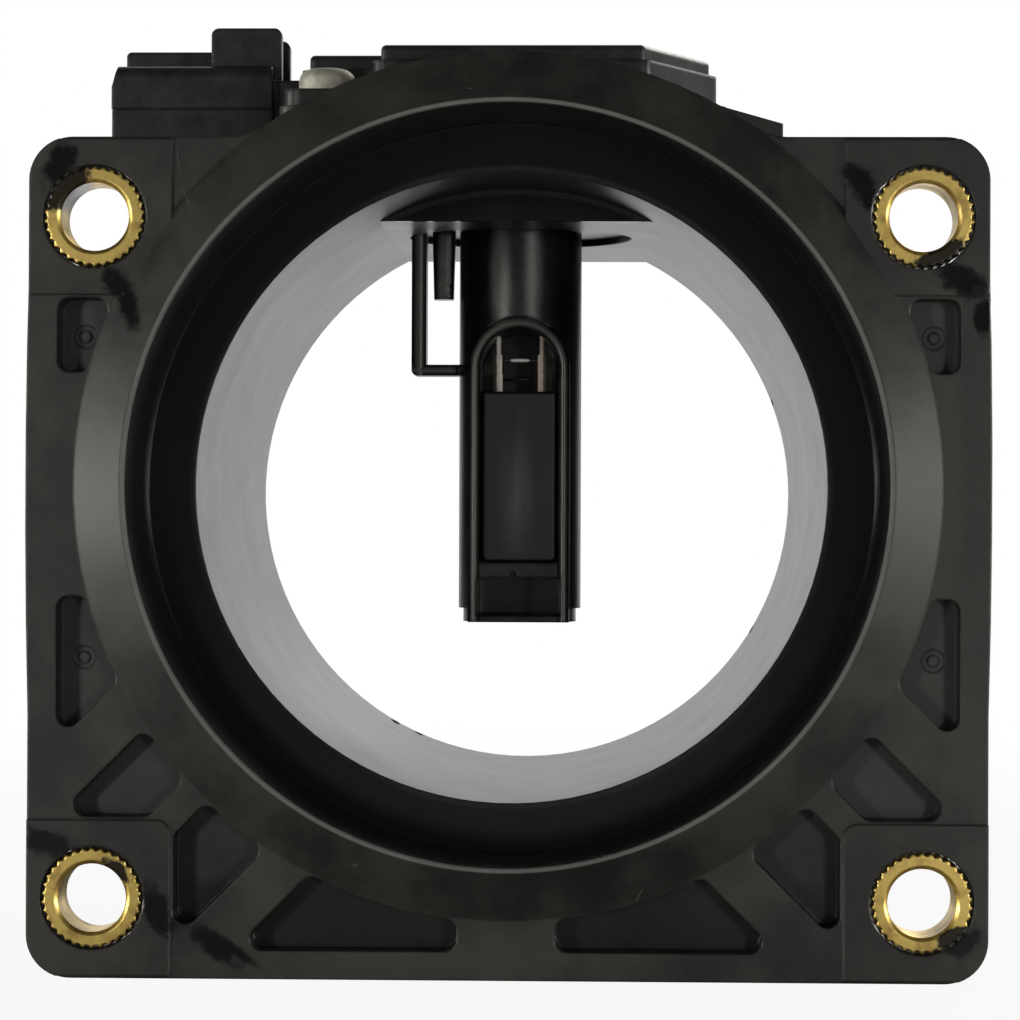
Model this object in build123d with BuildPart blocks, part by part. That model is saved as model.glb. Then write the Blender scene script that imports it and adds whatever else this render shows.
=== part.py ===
"""Mass airflow sensor: a flanged plastic duct with a plug-in sensor module.

Millimetres, Z up. The duct runs along Y and its mouth faces -Y.
The origin is the centre of the four bolt holes, on the face of the corner pads.
Heights that are named "above the axis" are counted from the axis of the duct.
The flange, the seat and the module take their places from the bore and from one another.
"""
import os

from build123d import *

# Flange, laid out round the ring of the mouth
ring_to_side = 4.65
ring_to_bottom = 6.15
ring_above_flange = 8.85
side_bulge = 0.33
side_bulge_reach = 23.5
flange_corner_radius = 4.5
flange_thickness = 6.4
bolt_to_side = 6.75
bolt_to_edge = 8.25
bolt_hole_radius = 3.5
pad_step = 0.4
pad_reach = 8.0
pad_corner_radius = 1.4

# Cored pockets of the flange
pocket_depth = 3.6
pocket_corner_radius = 1.3
pocket_to_ring = 0.15
pocket_to_rim = 2.9
pocket_to_pad = 0.3
pocket_least_width = 3.1
rib_run = 12.0
rib_above_pad = 7.4
rib_on_pad = 2.3
rib_beside_pad = 6.4
rib_below_pad = 1.5
pocket_to_corner = 0.85
bottom_land = 10.0
mark_radius = 1.2
mark_depth = 0.2

# Duct
bore_radius = 33.8
mouth_step = 5.2
mouth_depth = 17.7
mouth_wall = 2.4
ledge_thickness = 2.8
drum_taper = 5.0
ring_width = 5.6
lip_height = 2.5
lip_land = 0.5
ring_to_flange_fillet = 6.0
duct_wall = 2.8
spigot_step = 0.8
spigot_gap = 1.0
spigot_chamfer = 0.5

# Compression limiters
bushing_radius = 5.25
bushing_teeth = 36
bushing_groove = 0.3
bushing_chamfer = 0.45
bushing_clearance = 0.08

# Place of the sensor module along the duct, counted from its centre line
module_y = 55.0
duct_behind = 33.6
land_ahead = 22.3
land_drop = 3.7

# Seat of the sensor module, across the duct and round the module's centre line
socket_radius = 13.2
seat_rise = 10.05
seat_left = -27.4
seat_right = 23.8
seat_ahead = 17.0
seat_behind = 18.0
seat_corner_radius = 2.0
seat_wall = 2.4
seat_core_depth = 4.0
socket_wall = 2.6
web_thickness = 3.0
web_top = 22.8
web_reach = 30.2
web_drop = 2.1

# Base and case of the sensor module
base_thickness = 2.6
base_ahead = 12.0
base_tongue = 2.5
base_tongue_x = -15.0
base_bevel_x = 15.4
case_inset = 0.5
case_left_inset = 1.4
case_right_length = 6.2
case_corner_radius = 1.4
case_inner_radius = 0.6
case_wall = 1.8
case_floor = 1.2
case_headroom = 0.96
notch_gap_x = 2.3
notch_gap_y = 0.9
rear_notch_gap_x = 1.7
rear_notch_gap_y = 0.7
cover_inset = 0.9
cover_thickness = 1.9
cover_edge_radius = 0.6
cover_skirt = 1.2
cover_skirt_wall = 1.0
cover_clearance = 0.1

# Screws
screw_inset = 4.8
screw_rear_inset = 5.4
screw_radius = 2.0
screw_clearance = 0.3
thread_clearance = 0.02
screw_length = 11.0
screw_head_radius = 3.3
screw_head_height = 2.8
screw_head_rounding = 1.5
recess_length = 3.4
recess_width = 0.8
recess_depth = 1.3
boss_wall = 2.4

# Collar and its seal
collar_clearance = 0.25
collar_recess = 0.75
seal_section_radius = 0.95
seal_drop = 6.6
seal_clearance = 0.02
seal_groove_play = 0.2

# Stem and frame, heights above the axis
stem_step = 5.7
stem_side_end = -13.8
stem_end = -15.4
stem_foot_step = 0.55
outlet_half_width = 4.95
frame_front = 6.4
frame_radius = 5.92
frame_centre = 14.5
opening_radius = 4.55
panel_recess = 1.1
panel_thickness = 1.6
panel_drop = 2.8
panel_bottom = -8.3
panel_corner_radius = 0.8
panel_edge_radius = 0.35
panel_clearance = 0.12
bar_height = 1.9
channel_half_width = 3.6
channel_back = 4.5
channel_floor = 0.7
channel_wall = 1.4
ledge_height = 0.7

# Air temperature bead and its guard, heights above the axis
guard_inset = 0.05
guard_width = 1.75
guard_depth = 3.6
guard_bottom = 13.7
guard_bar_height = 1.3
guard_corner_radius = 0.7
bead_to_guard = 0.65
bead_size_x = 2.75
bead_size_y = 3.2
bead_taper = 1.5
bead_tip = 22.8
bead_root_radius = 0.8
bead_root_length = 3.0

# Sensing elements, heights counted from the centre of the frame's arch
post_x = 2.63
post_upper_width = 0.55
post_lower_width = 1.0
post_depth = 0.5
post_drop = 4.1
post_root_length = 3.5
post_clearance = 0.02
hot_y = -2.2
hot_rise = 1.0
cold_y = 1.4
cold_rise = -1.1
lead_radius = 0.12
element_radius = 0.32
element_length = 2.6

# Connector, heights counted from the seat
shroud_gap = 3.5
shroud_length = 19.1
shroud_width = 17.0
shroud_behind = 5.5
shroud_rise = 6.55
shroud_height = 12.3
shroud_wall = 1.4
shroud_corner_radius = 1.3
shroud_split = 5.15
shroud_step = 0.5
socket_depth = 14.0
neck_inset = 1.6
end_slope_run = 0.7
end_slope_drop = 2.6
guard_rib_length = 8.4
guard_rib_overhang = 0.9
guard_rib_height = 4.75
guard_ribs_width = 12.2
guard_rib_wall = 1.6
guard_rib_corner_radius = 0.9
key_setback = 1.1
key_width = 7.0
key_height = 2.25
key_corner_radius = 0.6

# Connector terminals
terminal_count = 5
terminal_pitch = 2.7
terminal_width = 1.2
terminal_thickness = 0.64
terminal_setback = 2.6
terminal_to_case = 2.4
terminal_overlap = 1.6
terminal_clearance = 0.02

# Circuit board, inside the case wall
board_gap_left = 0.6
board_gap_right = 0.8
board_gap_front = 0.9
board_gap_rear = 3.3
board_thickness = 0.8
standoff_height = 1.2
standoff_radius = 1.3
standoff_inset = 2.2

# Places of the duct and its flange
mouth_radius = bore_radius + mouth_step
ring_radius = mouth_radius + ring_width
duct_radius = bore_radius + duct_wall
drum_radius = mouth_radius + mouth_wall
spigot_radius = duct_radius - spigot_step
ledge_y = mouth_depth - lip_height
drum_end = ledge_y + ledge_thickness
duct_end = module_y + duct_behind
flange_width = 2 * (ring_radius + ring_to_side)
flange_height = 2 * ring_radius + ring_to_bottom - ring_above_flange
axis_height = ring_radius + ring_to_bottom - flange_height / 2
bolt_x = flange_width / 2 - bolt_to_side
bolt_z = flange_height / 2 - bolt_to_edge
pad_inner_x = bolt_x - pad_reach
pad_inner_z = bolt_z - pad_reach

# Places of the pockets, each where the ring leaves room for one
rim_x = flange_width / 2 - pocket_to_rim
rim_z = flange_height / 2 - pocket_to_rim
pocket_ring_radius = ring_radius + pocket_to_ring
side_land = (pocket_ring_radius**2 - (rim_x - pocket_least_width) ** 2) ** 0.5
side_top = axis_height + side_land
side_bottom = axis_height - side_land
side_run = side_bottom + pad_inner_z - rib_above_pad - pocket_to_pad
beside_pad = pad_inner_x - pocket_to_pad
above_pad = pocket_to_pad - pad_inner_z
mark_x = rim_x - 2 * mark_radius

# Places of the seat, the base and the case
land_y = module_y - land_ahead
land_height = bore_radius - land_drop
seat_height = bore_radius + seat_rise
land_z = axis_height + land_height
seat_z = axis_height + seat_height
base_z = seat_z + base_thickness
floor_z = seat_z + case_floor
board_z = floor_z + standoff_height
board_top_z = board_z + board_thickness
case_z = board_top_z + terminal_thickness + case_headroom + cover_skirt
seat_front = module_y - seat_ahead
seat_rear = module_y + seat_behind
spigot_y = seat_rear + spigot_gap
base_front = module_y - base_ahead
screw_front_x = seat_left + screw_inset
screw_front_y = base_front + screw_inset
screw_rear_x = seat_right - screw_rear_inset
screw_rear_y = seat_rear - screw_inset
case_left = seat_left + case_left_inset
case_notch_x = screw_front_x + screw_head_radius + notch_gap_x
case_notch_y = screw_front_y + screw_head_radius + notch_gap_y
case_rear_notch_x = screw_rear_x - screw_head_radius - rear_notch_gap_x
case_rear_notch_y = screw_rear_y - screw_head_radius - rear_notch_gap_y
base_bevel_y = case_rear_notch_y - case_right_length
board_left = case_notch_x + case_wall + board_gap_left
board_right = case_rear_notch_x - case_wall - board_gap_right
board_front = base_front + case_inset + case_wall + board_gap_front
board_rear = seat_rear - case_inset - case_wall - board_gap_rear

# Places of the collar, the stem and what it carries
collar_radius = socket_radius - collar_clearance
collar_z = land_z + collar_recess
stem_radius = collar_radius - stem_step
seal_z = seat_z - seal_drop
seal_radius = socket_radius - seal_section_radius - seal_clearance
groove_radius = seal_radius - seal_section_radius - seal_clearance
frame_z = axis_height + frame_centre
frame_y = module_y - frame_front
panel_y = frame_y + panel_recess
panel_z = frame_z - panel_drop
panel_back = panel_y + panel_thickness
channel_y = module_y + channel_back
channel_z = axis_height + stem_end + channel_floor
guard_outer = collar_radius - guard_inset
bead_x = guard_width + bead_to_guard + bead_size_x / 2 - guard_outer
post_inner_x = post_x - post_lower_width / 2

# Places of the connector
shroud_right = case_left - shroud_gap
shroud_left = shroud_right - shroud_length
shroud_y = module_y + shroud_behind
shroud_front = shroud_y - shroud_width / 2
shroud_top_z = seat_z + shroud_rise
shroud_z = shroud_top_z - shroud_height / 2
guard_rib_right = shroud_right + guard_rib_overhang
guard_rib_left = guard_rib_right - guard_rib_length
key_left = shroud_left + key_setback

bevel_slope = (seat_right - base_bevel_x) / (base_bevel_y - base_front)
base_points = [
    (seat_left, base_front),
    (base_tongue_x - base_tongue, base_front),
    (base_tongue_x, base_front - base_tongue),
    (base_bevel_x - base_tongue * bevel_slope, base_front - base_tongue),
    (seat_right, base_bevel_y),
    (seat_right, seat_rear),
    (seat_left, seat_rear),
]
case_points = [
    (case_notch_x, base_front + case_inset),
    (base_bevel_x - case_inset, base_front + case_inset),
    (seat_right - case_inset, base_bevel_y),
    (seat_right - case_inset, case_rear_notch_y),
    (case_rear_notch_x, case_rear_notch_y),
    (case_rear_notch_x, seat_rear - case_inset),
    (case_left, seat_rear - case_inset),
    (case_left, case_notch_y),
    (case_notch_x, case_notch_y),
]
terminal_points = [
    (shroud_left + terminal_setback, shroud_z),
    (case_left - terminal_to_case, shroud_z),
    (case_left - terminal_to_case, board_top_z + terminal_thickness / 2),
    (board_left + terminal_overlap, board_top_z + terminal_thickness / 2),
]
pocket_outlines = [
    [
        (0, side_top),
        (rim_x, side_top),
        (rim_x, -above_pad),
        (0, -above_pad),
    ],
    [
        (rim_x, side_bottom),
        (rim_x, side_bottom - side_run),
        (rim_x - side_run, side_bottom),
    ],
    [
        (rim_x, above_pad),
        (pad_inner_x + rib_on_pad, above_pad),
        (pad_inner_x + rib_on_pad - rib_run / 2, above_pad + rib_run / 2),
        (rim_x - rib_run, above_pad + rib_run),
    ],
    [
        (beside_pad, -pad_inner_z - rib_below_pad),
        (beside_pad, pocket_to_corner - rim_z),
        (beside_pad - rib_run, pocket_to_corner - rim_z + rib_run),
        (beside_pad - rib_run / 2, -pad_inner_z - rib_below_pad + rib_run / 2),
    ],
    [
        (pad_inner_x - rib_beside_pad, -rim_z),
        (bottom_land / 2, -rim_z),
        (bottom_land / 2, rib_run - rim_z),
        (pad_inner_x - rib_beside_pad - rib_run, rib_run - rim_z),
    ],
]
mark_places = [
    (mark_x, (side_top - above_pad) / 2),
    (mark_x, side_bottom - side_run / 2 + mark_radius),
]
bolt_places = {
    "bushing_lower_left": (-bolt_x, -bolt_z),
    "bushing_lower_right": (bolt_x, -bolt_z),
    "bushing_upper_left": (-bolt_x, bolt_z),
    "bushing_upper_right": (bolt_x, bolt_z),
}
screw_places = {
    "screw_front": (screw_front_x, screw_front_y),
    "screw_rear": (screw_rear_x, screw_rear_y),
}
post_places = {
    "hot_post_left": (-post_x, module_y + hot_y),
    "hot_post_right": (post_x, module_y + hot_y),
    "cold_post_left": (-post_x, module_y + cold_y),
    "cold_post_right": (post_x, module_y + cold_y),
}


def across(y):
    """Plane across the duct at a distance y: local X is X, local Y is Z."""
    return Plane(origin=(0, y, 0), x_dir=(1, 0, 0), z_dir=(0, -1, 0))


def level(z):
    """Horizontal plane at a height z: local X is X, local Y is Y."""
    return Plane.XY.offset(z)


def side(x):
    """Plane across X: local X is Y, local Y is Z."""
    return Plane(origin=(x, 0, 0), x_dir=(0, 1, 0), z_dir=(1, 0, 0))


duct_plane = Plane(origin=(0, 0, axis_height), x_dir=(0, 1, 0), z_dir=(1, 0, 0))
duct_axis = Axis((0, 0, axis_height), (0, 1, 0))


# Duct body
with BuildPart() as duct_body:
    # Flange plate with the round rim of the mouth standing above its top edge
    with BuildSketch(across(pad_step)) as plate:
        RectangleRounded(flange_width, flange_height, flange_corner_radius)
        with BuildLine():
            ThreePointArc(
                (flange_width / 2, axis_height - side_bulge_reach),
                (flange_width / 2 + side_bulge, axis_height),
                (flange_width / 2, axis_height + side_bulge_reach),
            )
            Polyline(
                (flange_width / 2, axis_height + side_bulge_reach),
                (0, axis_height + side_bulge_reach),
                (0, axis_height - side_bulge_reach),
                (flange_width / 2, axis_height - side_bulge_reach),
            )
        make_face()
        mirror(about=Plane.YZ)
        with Locations((0, axis_height)):
            Circle(ring_radius)
        junctions = plate.vertices().filter_by(
            lambda v: abs(v.Y - flange_height / 2) < 0.01 and abs(v.X) < ring_radius
        )
        fillet(junctions, ring_to_flange_fillet)
    extrude(amount=pad_step - flange_thickness)

    # Corner pads, which the bolted face rests on
    with BuildSketch(across(0)) as pads:
        with GridLocations(bolt_x + pad_inner_x + pad_reach, bolt_z + pad_inner_z + pad_reach, 2, 2):
            Rectangle(2 * pad_reach, 2 * pad_reach)
        RectangleRounded(flange_width, flange_height, flange_corner_radius, mode=Mode.INTERSECT)
        inner = pads.vertices().filter_by(
            lambda v: abs(abs(v.X) - pad_inner_x) < 0.01 and abs(abs(v.Y) - pad_inner_z) < 0.01
        )
        fillet(inner, pad_corner_radius)
    extrude(amount=-pad_step)

    # Ring, root and outside of the duct, with the hose spigot at its end
    with BuildSketch(duct_plane):
        with BuildLine():
            Polyline(
                (-lip_height, 0),
                (-lip_height, mouth_radius + lip_land),
                (pad_step, ring_radius),
                (flange_thickness, ring_radius),
                (flange_thickness, drum_radius),
                (drum_end, drum_radius),
                (drum_end + drum_taper, duct_radius),
                (spigot_y, duct_radius),
                (spigot_y, spigot_radius),
                (duct_end - spigot_chamfer, spigot_radius),
                (duct_end, spigot_radius - spigot_chamfer),
                (duct_end, 0),
                close=True,
            )
        make_face()
    revolve(axis=duct_axis)

    # Seat of the sensor module, its side web and its screw bosses
    with BuildSketch(level(seat_z)):
        with Locations(((seat_left + seat_right) / 2, (seat_front + seat_rear) / 2)):
            RectangleRounded(seat_right - seat_left, seat_rear - seat_front, seat_corner_radius)
    extrude(amount=-seat_rise)
    with BuildSketch(across(seat_front)):
        with BuildLine():
            Polyline(
                (0, seat_z),
                (web_top, seat_z),
                (web_reach, seat_z - web_drop),
                (web_reach, axis_height),
                (0, axis_height),
                close=True,
            )
        make_face()
    extrude(amount=-web_thickness)
    with BuildSketch(level(seat_z)):
        with Locations(*screw_places.values()):
            Circle(screw_radius + boss_wall)
    extrude(amount=-(screw_length + boss_wall))

    # Coring of the seat, open upwards and closed by the module
    with BuildSketch(level(seat_z)):
        with Locations(((seat_left + seat_right) / 2, (seat_front + seat_rear) / 2)):
            Rectangle(
                seat_right - seat_left - 2 * seat_wall, seat_rear - seat_front - 2 * seat_wall
            )
        with Locations((0, base_front + seat_wall)):
            Rectangle(
                2 * ring_radius, base_front, align=(Align.CENTER, Align.MAX), mode=Mode.SUBTRACT
            )
        with Locations((0, module_y)):
            Circle(socket_radius + socket_wall, mode=Mode.SUBTRACT)
            Rectangle(2 * ring_radius, seat_wall, mode=Mode.SUBTRACT)
            Rectangle(seat_wall, 2 * ring_radius, mode=Mode.SUBTRACT)
        with Locations(*screw_places.values()):
            Circle(screw_radius + boss_wall, mode=Mode.SUBTRACT)
    extrude(amount=-seat_core_depth, mode=Mode.SUBTRACT)

    # Bore, with the wider mouth that ends on a flat ledge
    with BuildSketch(across(-lip_height)):
        with Locations((0, axis_height)):
            Circle(mouth_radius)
    extrude(amount=-mouth_depth, mode=Mode.SUBTRACT)
    with BuildSketch(across(ledge_y)):
        with Locations((0, axis_height)):
            Circle(bore_radius)
    extrude(amount=ledge_y - duct_end, mode=Mode.SUBTRACT)

    # Flat land in the bore, round the socket
    with BuildSketch(across(land_y)):
        with Locations((0, axis_height)):
            Circle(bore_radius + duct_wall / 2)
        with Locations((0, land_z)):
            Rectangle(2 * ring_radius, ring_radius, align=(Align.CENTER, Align.MIN), mode=Mode.INTERSECT)
    extrude(amount=land_y - duct_end)

    # Socket for the collar, bushing holes and screw holes
    with BuildSketch(level(seat_z)):
        with Locations((0, module_y)):
            Circle(socket_radius)
    extrude(amount=land_height - seat_height - socket_wall, mode=Mode.SUBTRACT)
    with BuildSketch(across(0)):
        with GridLocations(2 * bolt_x, 2 * bolt_z, 2, 2):
            Circle(bushing_radius + bushing_clearance)
    extrude(amount=-flange_thickness, mode=Mode.SUBTRACT)
    with BuildSketch(level(seat_z)):
        with Locations(*screw_places.values()):
            Circle(screw_radius + thread_clearance)
    extrude(amount=-(screw_length - base_thickness + 1), mode=Mode.SUBTRACT)

    # Cored pockets in the face of the flange, the same on both sides
    for outline in pocket_outlines:
        with BuildSketch(across(pad_step)) as pocket:
            with BuildLine():
                Polyline(*outline, close=True)
            make_face()
            with Locations((0, axis_height)):
                Circle(pocket_ring_radius, mode=Mode.SUBTRACT)
            fillet(pocket.vertices(), pocket_corner_radius)
            mirror(about=Plane.YZ)
        extrude(amount=-pocket_depth, mode=Mode.SUBTRACT)

    # Ejector pin marks on the floors of the side pockets
    with BuildSketch(across(pad_step + pocket_depth)):
        with Locations(*mark_places):
            Circle(mark_radius)
            Circle(mark_radius / 2, mode=Mode.SUBTRACT)
        mirror(about=Plane.YZ)
    extrude(amount=-mark_depth, mode=Mode.SUBTRACT)
duct_body.part.label = "duct_body"


# Compression limiters
def make_bushing(name, place):
    """Knurled brass sleeve through the flange at one bolt hole."""
    with BuildPart() as bushing:
        with BuildSketch(across(0)):
            with Locations(place):
                Circle(bushing_radius)
                with PolarLocations(bushing_radius, bushing_teeth):
                    Rectangle(bushing_groove, bushing_groove, rotation=45, mode=Mode.SUBTRACT)
                Circle(bolt_hole_radius, mode=Mode.SUBTRACT)
        extrude(amount=-flange_thickness)
        bore_edges = bushing.edges().filter_by(GeomType.CIRCLE).filter_by(
            lambda e: abs(e.radius - bolt_hole_radius) < 0.01
        )
        chamfer(bore_edges, bushing_chamfer)
    bushing.part.label = name
    return bushing


bushings = {name: make_bushing(name, place) for name, place in bolt_places.items()}


def base_outline():
    """Outline of the module's base, with rounded corners."""
    with BuildSketch() as outline:
        with BuildLine():
            Polyline(*base_points, close=True)
        make_face()
        fillet(outline.vertices(), seat_corner_radius)
    return outline.sketch


def case_outline(inset):
    """Outline of the case, or of what lies an inset inside it."""
    with BuildSketch() as outline:
        with BuildLine():
            Polyline(*case_points, close=True)
        make_face()
        if inset > 0:
            offset(amount=-inset, kind=Kind.INTERSECTION)
        fillet(outline.vertices(), case_inner_radius if inset > 0 else case_corner_radius)
    return outline.sketch


def arch_outline(radius, bottom):
    """Upright outline with a round top, from a height down to the bottom."""
    with BuildSketch() as outline:
        with Locations((0, frame_z)):
            Circle(radius)
        with Locations((0, bottom)):
            Rectangle(2 * radius, frame_z - bottom, align=(Align.CENTER, Align.MIN))
    return outline.sketch


def terminal_outline(extra):
    """Side outline of a terminal, thicker by an extra gap all round."""
    with BuildSketch() as outline:
        with BuildLine():
            Polyline(*terminal_points)
        trace(line_width=terminal_thickness + 2 * extra)
    return outline.sketch


terminal_places = [
    shroud_y + (number - (terminal_count - 1) / 2) * terminal_pitch
    for number in range(terminal_count)
]


# Sensor housing: case, collar, stem, guard and connector shroud in one moulding
with BuildPart() as sensor_housing:
    # Base plate and case wall
    with BuildSketch(level(seat_z)):
        add(base_outline())
    extrude(amount=base_thickness)
    with BuildSketch(level(seat_z)):
        add(case_outline(0))
    extrude(amount=case_z - seat_z)
    with BuildSketch(level(floor_z)):
        add(case_outline(case_wall))
    extrude(amount=case_z - floor_z, mode=Mode.SUBTRACT)
    with BuildSketch(level(floor_z)):
        with Locations(((board_left + board_right) / 2, (board_front + board_rear) / 2)):
            with GridLocations(
                board_right - board_left - 2 * standoff_inset,
                board_rear - board_front - 2 * standoff_inset,
                2,
                2,
            ):
                Circle(standoff_radius)
    extrude(amount=standoff_height)

    # Screw holes
    with BuildSketch(level(seat_z)):
        with Locations(*screw_places.values()):
            Circle(screw_radius + screw_clearance)
    extrude(amount=base_thickness, mode=Mode.SUBTRACT)

    # Connector block, its neck and the step along its near side
    with BuildSketch(side(shroud_left)):
        with Locations((shroud_y, shroud_z)):
            RectangleRounded(shroud_width, shroud_height, shroud_corner_radius)
    extrude(amount=shroud_right - shroud_left)
    with BuildSketch(side(shroud_right - shroud_wall)):
        with Locations((shroud_y, seat_z)):
            Rectangle(
                shroud_width - 2 * neck_inset,
                shroud_rise - neck_inset,
                align=(Align.CENTER, Align.MIN),
            )
    extrude(amount=case_left - shroud_right + 2 * shroud_wall)
    with BuildSketch(side(shroud_left)):
        with Locations((shroud_front, shroud_top_z - shroud_split)):
            Rectangle(2 * shroud_step, shroud_height, align=(Align.CENTER, Align.MAX))
    extrude(amount=shroud_right - shroud_left, mode=Mode.SUBTRACT)
    with BuildSketch(side(shroud_left)):
        with Locations((shroud_y, shroud_z)):
            RectangleRounded(
                shroud_width - 2 * shroud_wall,
                shroud_height - 2 * shroud_wall,
                shroud_corner_radius - shroud_step,
            )
    extrude(amount=socket_depth, mode=Mode.SUBTRACT)

    # Slope down to the open end of the connector
    with BuildSketch(across(shroud_front)):
        with BuildLine():
            Polyline(
                (shroud_left, shroud_top_z),
                (shroud_left + end_slope_run, shroud_top_z),
                (shroud_left, shroud_top_z - end_slope_drop),
                close=True,
            )
        make_face()
    extrude(amount=-shroud_width, mode=Mode.SUBTRACT)

    # Two upright ribs that guard the latch, and the key that it snaps over
    with BuildSketch(across(shroud_y - guard_ribs_width / 2)) as rib:
        with Locations((guard_rib_left, shroud_top_z - shroud_wall)):
            Rectangle(
                guard_rib_length, guard_rib_height + shroud_wall, align=(Align.MIN, Align.MIN)
            )
        fillet(rib.vertices().group_by(Axis.Y)[-1], guard_rib_corner_radius)
    extrude(amount=-guard_ribs_width)
    with BuildSketch(side(guard_rib_left)):
        with Locations((shroud_y, shroud_top_z - shroud_wall)):
            Rectangle(
                guard_ribs_width - 2 * guard_rib_wall,
                guard_rib_height + shroud_wall,
                align=(Align.CENTER, Align.MIN),
            )
    extrude(amount=guard_rib_length, mode=Mode.SUBTRACT)
    with BuildSketch(side(guard_rib_left)):
        with Locations((shroud_y, shroud_top_z)):
            Rectangle(
                guard_ribs_width - guard_rib_wall, shroud_wall, align=(Align.CENTER, Align.MAX)
            )
    extrude(amount=shroud_right - guard_rib_left)
    with BuildSketch(across(shroud_y - key_width / 2)) as key:
        with Locations((key_left, shroud_top_z - shroud_wall / 2)):
            Rectangle(
                shroud_right - key_left, key_height + shroud_wall / 2, align=(Align.MIN, Align.MIN)
            )
        fillet(key.vertices().group_by(Axis.Y)[-1].sort_by(Axis.X)[0], key_corner_radius)
    extrude(amount=-key_width)

    # Collar with the groove for its seal
    with BuildSketch(level(collar_z)):
        with Locations((0, module_y)):
            Circle(collar_radius)
    extrude(amount=seat_z - collar_z)
    with BuildSketch(level(seal_z)):
        with Locations((0, module_y)):
            Circle(socket_radius)
            Circle(groove_radius, mode=Mode.SUBTRACT)
    extrude(amount=seal_section_radius + seal_groove_play, both=True, mode=Mode.SUBTRACT)

    # Stem, cut back to the flat of the frame, and the arched frame itself
    with BuildSketch(level(collar_z)):
        with Locations((0, module_y)):
            Circle(stem_radius)
    extrude(amount=axis_height + stem_side_end - collar_z)
    with BuildSketch(level(axis_height + stem_side_end)):
        with Locations((0, module_y)):
            Circle(stem_radius - stem_foot_step)
    extrude(amount=stem_end - stem_side_end)
    with BuildSketch(across(frame_y)):
        add(arch_outline(frame_radius, axis_height + stem_end))
    extrude(amount=frame_front, mode=Mode.SUBTRACT)
    with BuildSketch(across(frame_y)):
        add(arch_outline(frame_radius, axis_height + stem_end))
    extrude(amount=-(channel_y + channel_wall - frame_y))

    # Opening for the panel, chamber behind the arch, channel and outlet
    with BuildSketch(across(frame_y)):
        add(arch_outline(opening_radius, axis_height + panel_bottom - panel_clearance))
    extrude(amount=-(panel_back - frame_y), mode=Mode.SUBTRACT)
    with BuildSketch(across(frame_y)):
        add(arch_outline(opening_radius, panel_z - ledge_height))
    extrude(amount=-(channel_y - frame_y), mode=Mode.SUBTRACT)
    with BuildSketch(across(panel_back)):
        with Locations((0, channel_z)):
            Rectangle(
                2 * channel_half_width, frame_z - channel_z, align=(Align.CENTER, Align.MIN)
            )
    extrude(amount=-(channel_y - panel_back), mode=Mode.SUBTRACT)
    with BuildSketch(across(frame_y)):
        with Locations((0, channel_z)):
            Rectangle(
                2 * outlet_half_width,
                panel_bottom - bar_height - stem_end - channel_floor,
                align=(Align.CENTER, Align.MIN),
            )
    extrude(amount=-(channel_y - frame_y), mode=Mode.SUBTRACT)

    # Guard round the air temperature bead
    with BuildSketch(across(module_y - guard_depth / 2)) as guard:
        with Locations((-guard_outer, axis_height + guard_bottom)):
            Rectangle(guard_width, collar_z - axis_height - guard_bottom, align=(Align.MIN, Align.MIN))
            Rectangle(guard_outer - stem_radius + 1, guard_bar_height, align=(Align.MIN, Align.MIN))
        corner = guard.vertices().filter_by(
            lambda v: abs(v.X + guard_outer) < 0.01 and abs(v.Y - axis_height - guard_bottom) < 0.01
        )
        fillet(corner, guard_corner_radius)
    extrude(amount=-guard_depth)

    # Holes that hold the bead, the posts and the terminals
    with BuildSketch(level(collar_z)):
        with Locations((bead_x, module_y)):
            Circle(bead_root_radius + post_clearance)
    extrude(amount=bead_root_length + post_clearance, mode=Mode.SUBTRACT)
    with BuildSketch(level(frame_z)):
        with Locations(*post_places.values()):
            Rectangle(
                post_upper_width + 2 * post_clearance, post_depth + 2 * post_clearance
            )
    extrude(amount=opening_radius + post_root_length, mode=Mode.SUBTRACT)
    for place in terminal_places:
        with BuildSketch(across(place)):
            add(terminal_outline(terminal_clearance))
        extrude(
            amount=terminal_width / 2 + terminal_clearance, both=True, mode=Mode.SUBTRACT
        )
sensor_housing.part.label = "sensor_housing"


# Cover of the case, with a skirt inside the wall
with BuildPart() as housing_cover:
    with BuildSketch(level(case_z)):
        add(case_outline(cover_inset))
    extrude(amount=cover_thickness)
    fillet(housing_cover.faces().sort_by(Axis.Z)[-1].edges(), cover_edge_radius)
    with BuildSketch(level(case_z)):
        add(case_outline(case_wall + cover_clearance))
        add(case_outline(case_wall + cover_clearance + cover_skirt_wall), mode=Mode.SUBTRACT)
    extrude(amount=-cover_skirt)
housing_cover.part.label = "housing_cover"


# Panel that closes the front of the bypass channel
with BuildPart() as bypass_cover:
    with BuildSketch(across(panel_y)) as panel:
        with Locations((0, axis_height + panel_bottom)):
            Rectangle(
                2 * (opening_radius - panel_clearance),
                panel_z - axis_height - panel_bottom,
                align=(Align.CENTER, Align.MIN),
            )
        fillet(panel.vertices().group_by(Axis.Y)[0], panel_corner_radius)
    extrude(amount=-panel_thickness)
    fillet(bypass_cover.faces().sort_by(Axis.Y)[0].edges(), panel_edge_radius)
bypass_cover.part.label = "bypass_cover"


# Ring seal between collar and socket
with BuildPart() as collar_seal:
    with BuildSketch(Plane.XZ.offset(-module_y)):
        with Locations((seal_radius, seal_z)):
            Circle(seal_section_radius)
    revolve(axis=Axis((0, module_y, 0), (0, 0, 1)))
collar_seal.part.label = "collar_seal"


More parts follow.
